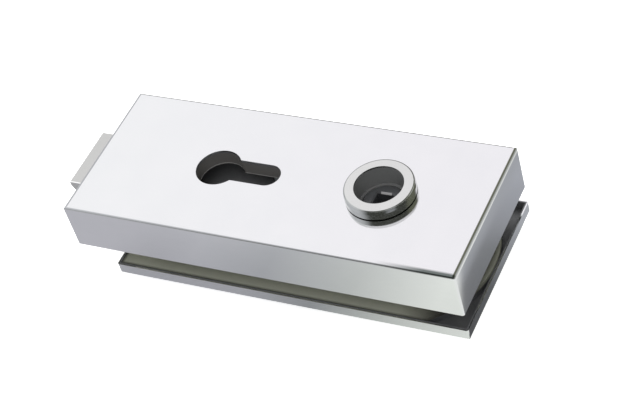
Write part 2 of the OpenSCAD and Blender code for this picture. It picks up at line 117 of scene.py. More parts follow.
# %% Camera from the solved view
eye = Vector((255.57, -381.79, 470.29)) * MM
ahead = Vector((-0.43202, 0.57441, -0.69528)).normalized()
roll = math.radians(18.024)
LOCK_MIDDLE = Vector((-32.5, 1.3, 7)) * MM
level_right = ahead.cross(Vector((0, 0, 1))).normalized()
level_up = level_right.cross(ahead)
cam_right = level_right * math.cos(roll) - level_up * math.sin(roll)
cam_up = level_up * math.cos(roll) + level_right * math.sin(roll)
camera_data = bpy.data.cameras.new("photo_camera")
camera_data.sensor_width = 36
camera_data.lens = 107.13
camera_data.clip_start = 0.01
camera = bpy.data.objects.new("photo_camera", camera_data)
axes = Matrix((cam_right, cam_up, -ahead)).transposed().to_4x4()
camera.matrix_world = Matrix.Translation(eye) @ axes
bpy.context.scene.collection.objects.link(camera)
bpy.context.scene.camera = camera
print("camera", round((eye - LOCK_MIDDLE).length, 3), "m from the lock")

# %% [markdown]
# ## The studio
# Polished steel shows little of its own colour. What one sees is the room. A big soft box behind
# the lock whitens the upper faces, and the dim room beside it draws the thin dark lines on the
# rounded edges. The pale table lights the upright faces.
#
# The real room isn't known. It could be rebuilt from cards and lamps that stand round the lock, but
# a world that depends on the direction gives the same reflections with a few numbers: each light is
# a direction, and two cosines say where its edge begins and where it is full. The lights are laid
# over the dim room one after the other, each through its own mask.

# %% Lights by direction
world = bpy.data.worlds.new("soft_studio")
bpy.context.scene.world = world
world.use_nodes = True
room = world.node_tree
room.nodes.clear()
direction = add(room, SPACE).outputs["Generated"]
room_x, _, room_z = add(room, SPLIT, {0: direction}).outputs


def glow(toward, begin, full):
    """0 to 1 as the direction turns toward a light; begin and full are cosines."""
    dot = add(room, VECTOR, {0: direction, 1: Vector(toward).normalized()},
              operation="DOT_PRODUCT")
    return add(room, MAP, {"Value": dot, "From Min": begin, "From Max": full}, **SMOOTH)


def layers(tree, base, rows):
    """Colours laid over each other; a row is a mask and the colour that shows where it is 1."""
    for where, over in rows:
        base = add(tree, MIX, {SHARE: where, UNDER: base, OVER: over}, **COLOUR)
    return base


# The soft box ends at a sill, well above the horizon. The right end of the lock's top mirrors a
# part of it that is a trace of lavender.
over_sill = add(room, MAP, {"Value": room_z, "From Min": 0.42, "From Max": 0.60}, **SMOOTH)
box_window = glow((-0.42, 0.58, 0.69), 0.72, 0.88)
soft_box = add(room, MATH, {0: box_window, 1: over_sill}, operation="MULTIPLY")
overhead = glow((0, 0, 1), 0.74, 0.86)
bright = add(room, MATH, {0: soft_box, 1: overhead}, operation="MAXIMUM")
lavender = add(room, MAP, {"Value": room_x, "From Min": -0.53, "From Max": -0.37})
box_tone = add(room, MIX, {SHARE: lavender, UNDER: tone("#ffffff"), OVER: tone("#fcfafc")},
               **COLOUR)
WEAK_LIGHTS = (
    ((-0.90, -0.30, 0.35), 0.62, 0.97, "#d8dadc"),  # streak on the collar, line on the front edge
    ((-0.85, 0.50, 0.15), 0.86, 0.97, "#bcbec0"),   # lightens the line on the left edge
    ((0.66, 0.60, 0.46), 0.82, 0.95, "#6d6f5f"),    # olive tinge on the right edge and the collar
    ((0.80, 0.57, 0.10), 0.93, 0.98, "#a9aba8"),    # lightens the line on the right edge
    ((0.72, -0.66, 0.18), 0.92, 0.98, "#a2a4a6"),   # mirrored by the top, seen from behind
)
room_view = layers(room, tone("#444640"), [(bright, box_tone)] + [
    (glow(toward, begin, full), tone(shade)) for toward, begin, full, shade in WEAK_LIGHTS])
print("lights in the world:", 2 + len(WEAK_LIGHTS))

# %% [markdown]
# A photographer would cut the lock out and lay it on white. Is Camera Ray does that in the world's
# own tree: the camera gets white paper, and everything else gets the room.

# %% White paper for the camera
ROOM_LEVEL = 1.05
room_light = add(room, "ShaderNodeBackground", {"Color": room_view, "Strength": ROOM_LEVEL})
white_paper = add(room, "ShaderNodeBackground", {"Color": tone("#ffffff"), "Strength": 1.0})
ray = add(room, "ShaderNodeLightPath").outputs["Is Camera Ray"]
seen = add(room, "ShaderNodeMixShader", {0: ray, 1: room_light, 2: white_paper})
add(room, "ShaderNodeOutputWorld", {"Surface": seen})
print("world nodes:", len(room.nodes))

# %% [markdown]
# ## The table
# The table is a large flat sheet just under the lock. The upright steel faces mirror it, and in the
# photograph they aren't evenly white: the long side goes from lavender grey to a pale green at the
# near corner, and the short side is a darker grey. A photographer gets such soft changes with
# sheets of grey card round the object. Here the cards lie in the table's own finish, which shows
# them to reflections only. Each card is one ramp with a few tones along X or Y.

# %% Table top and a ramp
FLOOR_Z = cad_box[0][2]
TABLE_REACH = 3.0


def new_finish(name):
    """A material with an empty tree, that tree, and its Object coordinates."""
    made = bpy.data.materials.new(name)
    made.use_nodes = True
    made.node_tree.nodes.clear()
    return made, made.node_tree, add(made.node_tree, SPACE).outputs["Object"]


table_mesh = bpy.data.meshes.new("table")
table_corners = [(x * TABLE_REACH, y * TABLE_REACH, FLOOR_Z)
                 for x, y in ((-1, -1), (1, -1), (1, 1), (-1, 1))]
table_mesh.from_pydata(table_corners, [], [(0, 1, 2, 3)])
table = bpy.data.objects.new("table", table_mesh)
bpy.context.scene.collection.objects.link(table)
white_table, sheet, on_table = new_finish("white_table")
to_x, to_y, _ = add(sheet, SPLIT, {0: on_table}).outputs


def card(coordinate, begin_mm, end_mm, stops):
    """Tones along one coordinate; a stop is a place from 0 to 1 and a hex value."""
    along = add(sheet, MAP, {"Value": coordinate, "From Min": begin_mm * MM,
                             "From Max": end_mm * MM})
    made = add(sheet, "ShaderNodeValToRGB", {0: along})
    shades = made.color_ramp.elements
    shades[0].position, shades[0].color = stops[0][0], tone(stops[0][1])
    shades[1].position, shades[1].color = stops[-1][0], tone(stops[-1][1])
    for spot, shade in stops[1:-1]:
        shades.new(spot).color = tone(shade)
    return made


print("table at", round(FLOOR_Z / MM, 2), "mm")

# %% [markdown]
# Where a face mirrors the table follows from its height: the case's long side sees the table far in
# front, and the counter plate sees it close by. So each of the four sides has its own card, and
# masks say where one card takes over from the next. A mask is a product of ramps, straight or
# smooth.

# %% Cards that only reflections see


def mask(tree, *limits, smooth=False):
    """1 where every value has passed its full mark; a limit is (value, none_mm, full_mm)."""
    made = None
    for value, none_mm, full_mm in limits:
        step = add(tree, MAP, {"Value": value, "From Min": none_mm * MM, "From Max": full_mm * MM},
                   **(SMOOTH if smooth else {}))
        made = add(tree, MATH, {0: made, 1: step}, operation="MULTIPLY") if made else step
    return made


case_front_card = card(to_x, -131, 20, ((0.12, "#9f9fa7"), (0.34, "#b0b1b7"), (0.54, "#9fa2a6"),
                                        (0.78, "#c1c6c1"), (1, "#f2f7ee")))
plate_front_card = card(to_x, -105, 35, ((0.35, "#9fa0a6"), (0.57, "#84888a"),
                                         (0.78, "#c0c5be"), (1, "#ecf1e8")))
case_end_card = card(to_y, -24, 52, ((0.18, "#6a6c6f"), (0.50, "#737679"),
                                     (0.68, "#888b91"), (0.97, "#a1a4ab")))
plate_end_card = card(to_y, -24, 52, ((0.02, "#404143"), (0.27, "#525457"), (0.69, "#a5a8ad")))
plate_front = mask(sheet, (to_y, -43.5, -42.0), smooth=True)
plate_end = mask(sheet, (to_x, 40.0, 41.2), (to_y, -34, -30), smooth=True)
case_end = mask(sheet, (to_x, 44.5, 47.0), smooth=True)
# The end card gets an even grey far out, which the upper part of the case's end mirrors, and a
# light wedge at the near corner, along a slanted line.
far_out = mask(sheet, (to_x, 52.5, 55.5))
to_wedge = add(sheet, VECTOR, {0: on_table, 1: (0.922, -0.387, 0)}, operation="DOT_PRODUCT")
wedge = mask(sheet, (to_wedge, 50.4, 53.5), smooth=True)
case_end_view = layers(sheet, case_end_card, [(far_out, tone("#9c9fa4")),
                                              (wedge, tone("#f4f6f2"))])
# Away from the lock the cards end: grey at the left, dim behind, pale at the right.
to_left = mask(sheet, (to_x, -130, -180), smooth=True)
to_right = mask(sheet, (to_x, 20, 80))
far_view = layers(sheet, tone("#5c5e5c"), [(to_left, tone("#a0a2a4")),
                                           (to_right, tone("#d9dbd6"))])
away = add(sheet, VECTOR, {0: on_table, 1: (-38 * MM, 0, 0)}, operation="DISTANCE")
mirrored_tone = layers(sheet, case_front_card, [
    (plate_front, plate_front_card), (plate_end, plate_end_card), (case_end, case_end_view),
    (mask(sheet, (away, 120, 180)), far_view)])
print("card nodes:", len(sheet.nodes))

# %% [markdown]
# The table has to be three things at once. Matt parts get plain white light from it. The camera
# sees it a little brighter than it is lit, as an overexposed table looks, with the lock's shadow
# still on it. Reflections see mostly the cards. Light Path tells the three apart.

# %% One table for the camera, the reflections and the light
FRONT_CARD_SHARE, END_CARD_SHARE = 0.75, 0.90
TABLE_LIFT = 0.7
matt = add(sheet, "ShaderNodeBsdfDiffuse", {"Color": tone("#f4f4f4")})
lift = add(sheet, "ShaderNodeEmission", {"Color": tone("#ffffff"), "Strength": TABLE_LIFT})
cards = add(sheet, "ShaderNodeEmission", {"Color": mirrored_tone, "Strength": 1.0})
overexposed = add(sheet, "ShaderNodeAddShader", {0: matt, 1: lift})
toward_end = mask(sheet, (to_x, 40.0, 41.2), smooth=True)
card_share = add(sheet, MAP, {"Value": toward_end, "To Min": FRONT_CARD_SHARE,
                              "To Max": END_CARD_SHARE})
reflected = add(sheet, "ShaderNodeMixShader", {0: card_share, 1: matt, 2: cards})
rays = add(sheet, "ShaderNodeLightPath").outputs
other = add(sheet, "ShaderNodeMixShader", {0: rays["Is Glossy Ray"], 1: matt, 2: reflected})
shown = add(sheet, "ShaderNodeMixShader", {0: rays["Is Camera Ray"], 1: other, 2: overexposed})
add(sheet, "ShaderNodeOutputMaterial", {"Surface": shown})
table_mesh.materials.append(white_table)
print("table nodes:", len(sheet.nodes))

# %% [markdown]
# ## The lamps
# Two large soft lamps give the diffuse parts, rubber and nylon, a plain level of light, and lay the
# soft shadow on the table. The world alone could light them, but from all sides at once, and the
# lock would seem to float. Steel doesn't mirror the lamps, because the world has its reflections.

# %% Lamps
AIM = Vector((-30, 0, 0)) * MM
LAMP_SIZE = 0.9


def soft_lamp(name, place_mm, watts):
    """A square soft lamp that looks at the middle of the lock."""
    lamp_data = bpy.data.lights.new(name, "AREA")
    lamp_data.shape = "SQUARE"
    lamp_data.size = LAMP_SIZE
    lamp_data.energy = watts
    lamp = bpy.data.objects.new(name, lamp_data)
    place = Vector(place_mm) * MM
    turn_to = (AIM - place).normalized().to_track_quat("-Z", "Y")
    lamp.matrix_world = Matrix.Translation(place) @ turn_to.to_matrix().to_4x4()
    lamp.visible_glossy = False
    bpy.context.scene.collection.objects.link(lamp)


soft_lamp("back_box", (-700, 950, 1150), 16)
soft_lamp("front_fill", (500, -900, 900), 5)
print("lamps:", len(bpy.data.lights))

# %% [markdown]
# ## The metals
# All patterns read Object coordinates, which are metres in the lock's own frame, so a grain of half
# a millimetre is a scale of 2000 per metre. A metal is one noise with the size of its grain, drawn
# out along the way it was rolled or turned, and one broad cloud. They vary its roughness and its
# colour, and the grain also raises its surface a little. Real polishing and rolling lines are a few
# hundredths of a millimetre apart, too fine to show, so the grain is drawn some ten times coarser.
#
# A photograph of real brushed steel would look richer close by, but nodes stay sharp at any size
# and follow the part when its shape changes.

# %% Metals
CLOUD_MM = 14
NOISE_LOW, NOISE_HIGH = 0.3, 0.7  # a noise seldom leaves this range


def end_in_skin(tree, grain, bump_mm, inputs):
    """The surface shader, raised by the grain, and the way out of the tree."""
    height = add(tree, "ShaderNodeBump", {"Strength": 1.0, "Distance": bump_mm * MM,
                                          "Height": grain})
    skin = add(tree, "ShaderNodeBsdfPrincipled", {**inputs, "Normal": height})
    add(tree, "ShaderNodeOutputMaterial", {"Surface": skin})


def metal(name, light, dark, rough, spread, grain_mm, stretch, bump_mm, metallic=1.0):
    """Metal with a grain; rough may vary by spread, and stretch lengthens the grain on X, Y, Z."""
    made, tree, at = new_finish(name)
    drawn = add(tree, "ShaderNodeMapping", {"Scale": tuple(1 / s for s in stretch), "Vector": at})
    grain = add(tree, "ShaderNodeTexNoise", {"Scale": 1 / (grain_mm * MM), "Detail": 3.0,
                                             "Vector": drawn})
    cloud = add(tree, "ShaderNodeTexNoise", {"Scale": 1 / (CLOUD_MM * MM), "Detail": 2.0,
                                             "Vector": at})
    half_grain = add(tree, MATH, {0: grain, 1: 0.5}, operation="MULTIPLY")
    mixed = add(tree, MATH, {0: cloud, 1: 0.5, 2: half_grain}, operation="MULTIPLY_ADD")
    roughness = add(tree, MAP, {"Value": mixed, "From Min": NOISE_LOW, "From Max": NOISE_HIGH,
                                "To Min": rough - spread, "To Max": rough + spread})
    hue = add(tree, MIX, {SHARE: mixed, UNDER: tone(dark), OVER: tone(light)}, **COLOUR)
    end_in_skin(tree, grain, bump_mm, {"Metallic": metallic, "Base Color": hue,
                                       "Roughness": roughness})
    return made


EVEN = (1, 1, 1)
# Each row: light and dark tone, then roughness and its spread, size of the grain in mm, its
# stretch, height of the bump in mm, and the metal share where it isn't 1.
# Fine turning marks: the collar's soft grey ring, a little duller than the sheet.
turned_stainless = metal("turned_stainless_collar", "#e3e4e3", "#d0d1d0",
                         0.13, 0.03, 0.25, (1, 1, 0.4), 0.0012)
# Satin plating: the bolt's milky bevel without sharp reflections.
nickel_latch = metal("satin_nickel_plated_latch", "#dededc", "#cfcfce",
                     0.30, 0.04, 0.3, (8, 1, 1), 0.001)
# Tumbled casting: the matt, cloudy grey of zinc, seen when the cover is off.
zinc_casting = metal("tumbled_zinc_die_casting", "#b2b3b5", "#96979a",
                     0.5, 0.08, 1.2, EVEN, 0.01, 0.6)
# Rolled plate: faint lines along the length of the punched parts.
rolled_steel = metal("cold_rolled_steel_plate", "#b1b3b6", "#9a9ca0",
                     0.38, 0.06, 0.5, (10, 1, 1), 0.002, 0.8)
# Bright zinc: the bluish gloss of screws and rivets.
zinc_plate = metal("bright_zinc_plated_steel", "#d3d7dc", "#bcc2cb",
                   0.3, 0.05, 0.6, EVEN, 0.002)
# Drawn wire: a smooth mid grey that shows each coil by its highlight.
spring_wire = metal("drawn_spring_steel_wire", "#bfc1c4", "#a6a8ac",
                    0.32, 0.05, 0.2, EVEN, 0.002)
# Sintered and oiled: the follower's dark, slightly grainy hub at the bottom of the collar.
sintered_steel = metal("oiled_sintered_steel", "#8b8d8f", "#76787b",
                       0.38, 0.07, 0.25, EVEN, 0.004, 0.7)
print("metals:", [m.name for m in (turned_stainless, nickel_latch, zinc_casting, rolled_steel,
                                   zinc_plate, spring_wire, sintered_steel)])

# %% [markdown]
# ## The polished covers
# The covers are stainless sheet, pressed and then polished on the outside only. Outside they are
# near mirrors. Inside they stay dull, and their dark inner tone is painted shade, the shade that
# falls inside the covers. The two sides could be two materials, but a cover is one solid, so one
# finish does both: a mask finds the points inside the cover's box and swaps colour, roughness and
# metal share there. Only the fine bump is the same on both sides.

# %% Polished sheet with dull inner faces


def inside(tree, low_mm, high_mm):
    """1 within a box, 0 outside of it."""
    at = add(tree, SPACE).outputs["Object"]
    low, high = Vector(low_mm) * MM, Vector(high_mm) * MM
    shifted = add(tree, VECTOR, {0: at, 1: (low + high) / 2}, operation="SUBTRACT")
    off_middle = add(tree, VECTOR, {0: shifted}, operation="ABSOLUTE")
    beyond = add(tree, VECTOR, {0: off_middle, 1: (high - low) / 2}, operation="SUBTRACT")
    by_x, by_y, by_z = add(tree, SPLIT, {0: beyond}).outputs
    most = add(tree, MATH, {0: by_x, 1: by_y}, operation="MAXIMUM")
    most = add(tree, MATH, {0: most, 1: by_z}, operation="MAXIMUM")
    return add(tree, MATH, {0: most, 1: 0.0}, operation="LESS_THAN")


def swap_in(tree, where, colour, rough=None, metal_share=None):
    """Another colour, roughness and metal share where the mask is 1."""
    skin = next(n for n in tree.nodes if n.type == "BSDF_PRINCIPLED").inputs
    new_values = {"Base Color": tone(colour)}
    if rough is not None:
        new_values["Roughness"] = (rough, rough, rough, 1)
    for key, new in new_values.items():
        changed = add(tree, MIX, {SHARE: where, UNDER: skin[key].links[0].from_socket, OVER: new},
                      **COLOUR)
        tree.links.new(changed.outputs["Result"], skin[key])
    if metal_share is not None:
        share = add(tree, MAP, {"Value": where, "To Min": skin["Metallic"].default_value,
                                "To Max": metal_share})
        tree.links.new(share.outputs["Result"], skin["Metallic"])


def polished_outside(name, low_mm, high_mm):
    """Mirror-polished sheet whose inner faces all lie in the box, where it is dull, its dark tone
    painted shade.
    """
    made = metal(name, "#f1f1f3", "#e6e7ea", 0.10, 0.02, 0.35, (12, 1, 1), 0.0006)
    # The dull inside gets a dark tone that is painted shade.
    swap_in(made.node_tree, inside(made.node_tree, low_mm, high_mm), "#6a6b6d", 0.6, 0.0)
    return made


# Mirror polish: the white tops and the clean grey sides.
case_sheet = polished_outside("polished_stainless_case_sheet",
                              (-114.9, -30.4, 3.0), (38.9, 30.4, 22.8))
tray_sheet = polished_outside("polished_stainless_tray_sheet",
                              (-100.7, -30.5, -8.3), (39.0, 30.5, -3.0))
print("case sheet nodes:", len(case_sheet.node_tree.nodes))

# %% [markdown]
# ## Nylon and rubber
# The bushes, the liner, the latch guide and the sleeves are moulded nylon, and the gaskets are cut
# from calendered rubber. Both are matt with a fine even grain that the mould or the roller leaves,
# so one noise is enough for colour, roughness and height. The real grain is about a tenth of a
# millimetre, and it is drawn two or three times coarser to show in a close view.

# %% Moulded parts and gaskets
ROUGH_SPREAD = 0.06
NYLON_IOR, RUBBER_IOR = 1.53, 1.52


def moulded(name, light, dark, rough, ior, grain_mm, bump_mm):
    """Rubber or nylon: a matt skin with the fine grain of its mould."""
    made, tree, at = new_finish(name)
    grain = add(tree, "ShaderNodeTexNoise", {"Scale": 1 / (grain_mm * MM), "Detail": 4.0,
                                             "Vector": at})
    hue = add(tree, MIX, {SHARE: grain, UNDER: tone(dark), OVER: tone(light)}, **COLOUR)
    roughness = add(tree, MAP, {"Value": grain, "To Min": rough - ROUGH_SPREAD,
                                "To Max": rough + ROUGH_SPREAD})
    end_in_skin(tree, grain, bump_mm, {"Metallic": 0.0, "IOR": ior, "Base Color": hue,
                                       "Roughness": roughness})
    return made


# Each row: light and dark tone, roughness, IOR, size of the grain and height of the bump in mm.
# Black nylon: the soft dark walls in the collar.
black_nylon = moulded("moulded_black_nylon", "#8a8b8b", "#7a7b7b", 0.5, NYLON_IOR, 0.3, 0.003)
# Natural nylon: the pale guide behind the latch and the sleeves in the glass.
white_nylon = moulded("moulded_white_nylon", "#e2e0d8", "#d5d2c8", 0.48, NYLON_IOR, 0.3, 0.003)
# The liner is black nylon too, a little warmer: the grey depth of the cylinder cut-out.
liner_nylon = moulded("moulded_black_nylon_liner", "#7a7876", "#686664",
                      0.5, NYLON_IOR, 0.3, 0.003)
# Calendered rubber: the matt olive grey between the two plates.
gasket_rubber = moulded("calendered_gasket_rubber", "#b6b8aa", "#a3a598",
                        0.7, RUBBER_IOR, 0.25, 0.006)
print("moulded:", [m.name for m in (black_nylon, white_nylon, liner_nylon, gasket_rubber)])

# %% [markdown]
# ## Places with painted light and shade, and one paler band
# A close look at the photograph shows seven places where a finish isn't even. Each is set as a
# small change inside the finish that the piece already has, and the last six are painted light
# and shade: The picture doesn't tell whether wear, a cut or a reflection is the cause, so each is
# set by eye, as a small change inside the finish that the piece already has:
# - The liner has a paler band at half its depth.
# - A painted highlight makes the latch's near edge bright and sharp.
# - A painted glint lies on one bevel of the follower's square hole.
# - A painted dark reflection widens the line along the case's front edge toward the near corner.
# - Painted shade darkens the gasket toward its cut edges, where they lie between the plates.
# - Painted shade darkens the gasket's round end inside its rim, under the case.
# - A painted shadow makes the gasket darkest at the near corner of that end.

# %% Local changes
for made, low, high, shade, rough, share in (
        (liner_nylon, (-90, -20, 16), (-40, 20, 17.3), "#b6b6b4", None, None),
        # Painted highlight: the latch's near edge, white and sharp.
        (nickel_latch, (-126, -14, 17), (-110, -12.85, 30), "#ffffff", 0.12, None),
        # Painted glint: one bevel of the follower's square hole.
        (sintered_steel, (-2.7, 3.9, 18.5), (1.4, 4.9, 19.26), "#d2d2d2", 0.3, 0.2)):
    swap_in(made.node_tree, inside(made.node_tree, low, high), shade, rough, share)

steel = case_sheet.node_tree
on_x, on_y, on_z = add(steel, SPLIT, {0: add(steel, SPACE).outputs["Object"]}).outputs
# Painted dark reflection along the case's front edge, widening toward the near corner.
front_edge_painted_reflection = mask(steel, (on_y, -29.0, -29.9), (on_z, 22.4, 23.0), (on_x, 10, 28))
swap_in(steel, front_edge_painted_reflection, "#727977")

rubber = gasket_rubber.node_tree
on_rubber = add(rubber, SPACE).outputs["Object"]
on_x, on_y, _ = add(rubber, SPLIT, {0: on_rubber}).outputs
ROUND_END_MIDDLE, NEAR_CORNER = (2.4 * MM, 0, -4.7 * MM), (34 * MM, -28 * MM, 0)
to_middle, to_corner = (add(rubber, VECTOR, {0: on_rubber, 1: spot}, operation="DISTANCE")
                        for spot in (ROUND_END_MIDDLE, NEAR_CORNER))
# Painted shade on the gasket's cut edges, where they lie between the plates.
for where, shade in ((mask(rubber, (on_y, -28.8, -29.7)), "#65675e"),
                     (mask(rubber, (on_x, -98.7, -99.5)), "#65675e"),
                     # Painted shade inside the round end's rim, under the case.
                     (mask(rubber, (to_middle, 35.4, 33.0), (on_x, 22, 29)), "#66675d"),
                     # Painted shadow at the near corner of the round end.
                     (mask(rubber, (to_corner, 21.5, 8)), "#45433f")):
    swap_in(rubber, where, shade)
print("gasket nodes:", len(rubber.nodes))

# %% [markdown]
# The finishes go on the solids by the solids' names. A solid keeps its mesh and its one slot; only
# what is in the slot changes, so the frame stays as it was packed.

# %% Put each finish on its solids
FINISH = {
    case_sheet: ["cover"],
    tray_sheet: ["counter_cover"],
    turned_stainless: ["case_collar", "counter_collar"],
    nickel_latch: ["latch_bolt"],
    zinc_casting: ["case_body"],
    rolled_steel: ["case_lid", "clamp_plate", "pull_bar", "locking_slide"],
    zinc_plate: ["lid_screws", "clamp_screws", "cylinder_screw", "pull_rivets"],
    spring_wire: ["latch_springs", "follower_spring", "detent_spring", "cover_clips",
                  "tray_clips"],
    sintered_steel: ["follower"],
    liner_nylon: ["cylinder_liner"],
    black_nylon: ["case_collar_bush", "counter_collar_bush",
                  "follower_bush_upper", "follower_bush_lower"],
    white_nylon: ["latch_guide", "glass_sleeves"],
    gasket_rubber: ["case_gasket", "counter_gasket"],
}
for finish, names in FINISH.items():
    for node_name in names:
        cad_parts[node_name].data.materials[0] = finish
print("dressed:", sum(len(v) for v in FINISH.values()), "of", len(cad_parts))

# %% [markdown]
# ## Parts that a solid leaves plain
# In the frame a screw is a smooth peg and a spring is an even coil. A real screw has a rolled
# thread, a real compression spring ends in a closed coil that lies flat on its seat. Both follow a
# helix. They could be drawn point by point in mesh code, but Geometry Nodes lay them out from a few
# named numbers, and a change of pitch or of the number of turns is then a change of one input.
#
# The formulas inside a tree are written as a table. Each row gives a result its name, and its terms
# are numbers or names that are known by then.

# %% Inputs, formulas and the finished mesh
INPUT_KINDS = {"size": "NodeSocketFloat", "count": "NodeSocketInt", "place": "NodeSocketVector",
               "finish": "NodeSocketMaterial", "shape": "NodeSocketGeometry"}
SHARP_ANGLE = math.radians(38)


def new_tree(name, **inputs):
    """A Geometry Nodes tree with named inputs, and the sockets that bring them in."""
    tree = bpy.data.node_groups.new(name, "GeometryNodeTree")
    for kind, labels in {"shape": ["Geometry"], **inputs, "finish": ["Finish"]}.items():
        for label in labels:
            tree.interface.new_socket(label, in_out="INPUT", socket_type=INPUT_KINDS[kind])
    tree.interface.new_socket("Geometry", in_out="OUTPUT", socket_type=INPUT_KINDS["shape"])
    return tree, {out.name: out for out in tree.nodes.new("NodeGroupInput").outputs}


def work_out(tree, known, rows):
    """Adds each row's result to what is known; a row is (result, operation, term, ...)."""
    for result, operation, *terms in rows:
        inputs = {i: known.get(term, term) for i, term in enumerate(terms)}
        known[result] = add(tree, MATH, inputs, operation=operation)


def finish_tree(tree, known, instances):
    """Makes the instances real, gives them their finish and sends them out."""
    real = add(tree, "GeometryNodeRealizeInstances", {0: instances})
    dressed = add(tree, "GeometryNodeSetMaterial", {"Geometry": real, "Material": known["Finish"]})
    add(tree, "NodeGroupOutput", {0: dressed})
    print(tree.name, len(tree.nodes), "nodes")


def grow(name, start, tree, values):
    """The mesh that the tree makes from the start mesh, as an object at the origin."""
    made = bpy.data.objects.new(name, start)
    bpy.context.scene.collection.objects.link(made)
    step = made.modifiers.new("grow", "NODES")
    step.node_group = tree
    for item in tree.interface.items_tree:
        if item.in_out == "INPUT" and item.name in values:
            step[item.identifier] = values[item.name]
    ready = made.evaluated_get(bpy.context.evaluated_depsgraph_get())
    plain = bpy.data.meshes.new_from_object(ready)
    made.modifiers.clear()
    made.data = plain
    plain.shade_smooth()
    plain.set_sharp_from_angle(angle=SHARP_ANGLE)
    print(name, len(plain.polygons), "faces")
    return made


# %% [markdown]
# The two latch springs push the bolt out. Their tree walks along a helix round the X axis. Of every
# turn, the part that belongs to the closed ends advances by the wire's thickness only, and the open
# part shares out the length that is left. A spring winder does the same: it holds the pitch tool
# back at both ends.

# %% Tree: the winding of a spring with closed ends
POINTS_PER_TURN, WIRE_SIDES = 28, 14
winder, known = new_tree(
    "wind_compression_spring", place=["Fixed End"],
    size=["Length", "Turns", "Closed Turns", "Coil Radius", "Wire Radius", "Spacing"])
known["along"] = add(winder, "GeometryNodeSplineParameter").outputs["Factor"]
work_out(winder, known, (
    ("points", "MULTIPLY", "Turns", POINTS_PER_TURN),
    ("turn", "MULTIPLY", "along", "Turns"),
    ("in first end", "MINIMUM", "turn", "Closed Turns"),
    ("last end from", "SUBTRACT", "Turns", "Closed Turns"),
    ("past open", "SUBTRACT", "turn", "last end from"),
    ("in last end", "MAXIMUM", "past open", 0),
    ("closed", "ADD", "in first end", "in last end"),
    ("wire", "MULTIPLY", "Wire Radius", 2),
    ("open turns", "SUBTRACT", "last end from", "Closed Turns"),
    ("end wires", "MULTIPLY_ADD", "Closed Turns", 2, 1),
    ("both ends", "MULTIPLY", "end wires", "wire"),
    ("open length", "SUBTRACT", "Length", "both ends"),
    ("pitch", "DIVIDE", "open length", "open turns"),
    ("open", "SUBTRACT", "turn", "closed"),
    ("open part", "MULTIPLY", "open", "pitch"),
    ("wound", "MULTIPLY_ADD", "closed", "wire", "open part"),
    ("from seat", "ADD", "wound", "Wire Radius"),
    ("x", "MULTIPLY", "from seat", -1),
    ("swing", "MULTIPLY", "turn", 2 * math.pi),
    ("across", "COSINE", "swing"), ("y", "MULTIPLY", "across", "Coil Radius"),
    ("upward", "SINE", "swing"), ("z", "MULTIPLY", "upward", "Coil Radius")))
print("known in the spring tree:", len(known))

# %% [markdown]
# A line with enough points is bent into that helix and swept with the wire's round section. The two
# springs lie side by side, so the coil is set on a small grid of two points.

# %% Tree: the wire along the helix
axis_line = add(winder, "GeometryNodeResampleCurve", {
    "Curve": add(winder, "GeometryNodeCurvePrimitiveLine"), "Count": known["points"]}, mode="COUNT")
point = add(winder, "ShaderNodeCombineXYZ", {0: known["x"], 1: known["y"], 2: known["z"]})
helix = add(winder, "GeometryNodeSetPosition", {"Geometry": axis_line, "Position": point})
round_wire = add(winder, "GeometryNodeCurvePrimitiveCircle",
                 {"Resolution": WIRE_SIDES, "Radius": known["Wire Radius"]})
coil = add(winder, "GeometryNodeCurveToMesh", {"Curve": helix, "Profile Curve": round_wire,
                                               "Fill Caps": True})
pair = add(winder, "GeometryNodeMeshGrid", {"Size X": 0, "Vertices X": 1, "Vertices Y": 2,
                                            "Size Y": known["Spacing"]})
seats = add(winder, "GeometryNodeTransform", {"Geometry": pair, "Translation": known["Fixed End"]})
finish_tree(winder, known, add(winder, "GeometryNodeInstanceOnPoints",
                               {"Points": seats, "Instance": coil}))

# %% [markdown]
# Each latch spring has 6.5 turns of 0.8 mm wire, 5 mm across at the middle of the wire. The seat is
# the end that stays put: the solid spring pair of the frame begins there too.

# %% Latch springs
SPRING_SEAT = (-84 * MM, 0.0, 13.5 * MM)
latch_springs = grow("wound_latch_springs", bpy.data.meshes.new("no_start"), winder, {
    "Length": 15 * MM, "Turns": 6.5, "Closed Turns": 1.0, "Coil Radius": 2.5 * MM,
    "Wire Radius": 0.4 * MM, "Spacing": 16 * MM, "Fixed End": SPRING_SEAT, "Finish": spring_wire})

# %% [markdown]
# A screw is turned first and threaded after, and the lesson keeps that order. The blank is a lathe
# profile with the hexagonal socket pressed into its head. Spin could turn the profile, but the
# socket's rings are hexagons, so the rings are laid out in code.

# %% Turned blank with a pressed socket
SIDES = 36
SIXTH = math.pi / 3
RINGS_PER_PITCH = 8
SOCKET_EDGE, HEAD_EDGE, TIP_EDGE = 0.12, 0.08, 0.5  # bevels in mm


